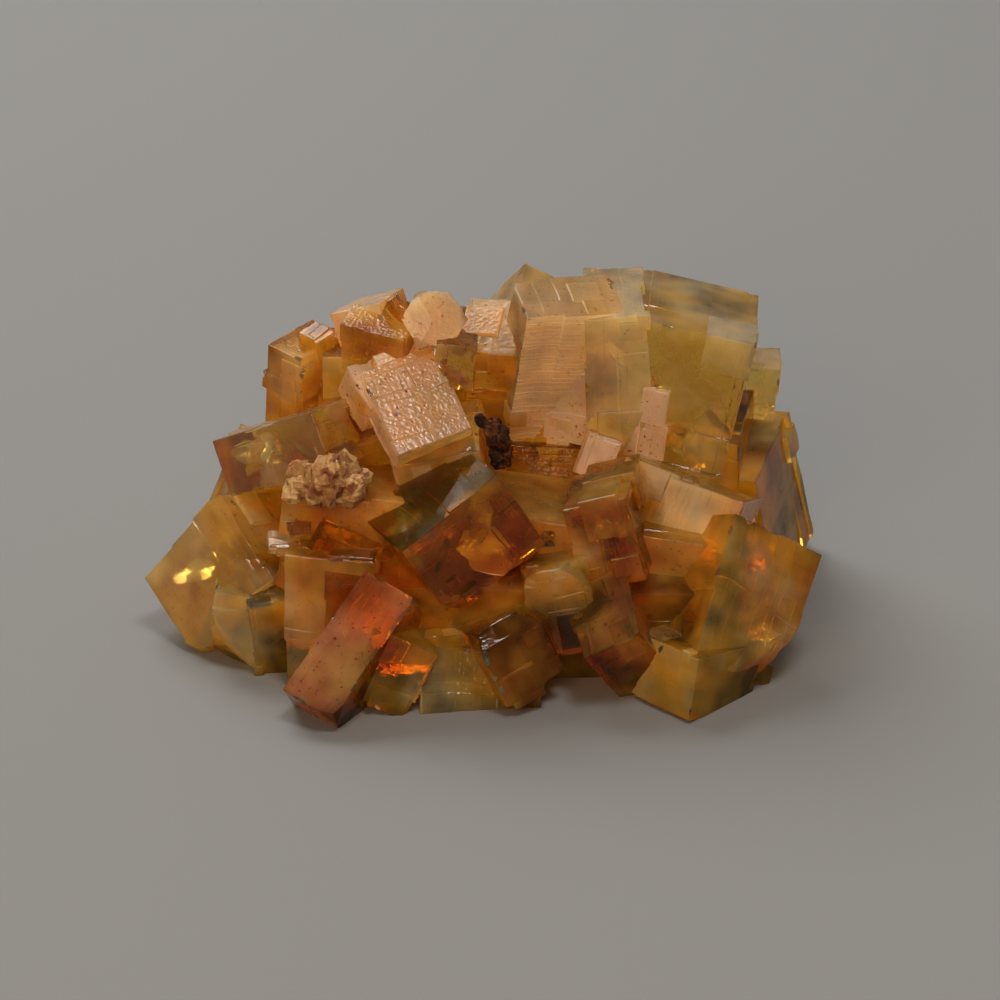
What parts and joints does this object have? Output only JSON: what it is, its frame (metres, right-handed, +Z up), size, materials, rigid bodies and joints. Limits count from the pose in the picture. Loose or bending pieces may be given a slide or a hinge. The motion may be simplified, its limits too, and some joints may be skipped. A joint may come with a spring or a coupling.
{
  "type": "raw fluorite",
  "caption": "Cluster of intergrown amber-yellow fluorite cubes with frosted pink skins and stepped faces, cut flat underneath so that it rests.",
  "frame": {"origin": "on the flat resting plane, below the middle of the cluster's box", "axes": "+X along the cluster to the viewer's right, -Y towards the side that the crystals face, +Z up from the cut"},
  "size_m": [0.0504, 0.037, 0.0258],
  "materials": {
    "fluorite": "see-through amber mineral, glassy cleavage faces with frosted pink growth skins",
    "host_rock": "matt, granular, angular grains",
    "iron_oxide": "matt, dark, earthy crust"
  },
  "bodies": {
    "root": {"fluorite_crystals": "fluorite", "matrix_crumb": "host_rock", "iron_oxide_fill": "iron_oxide"}
  },
  "joints": []
}
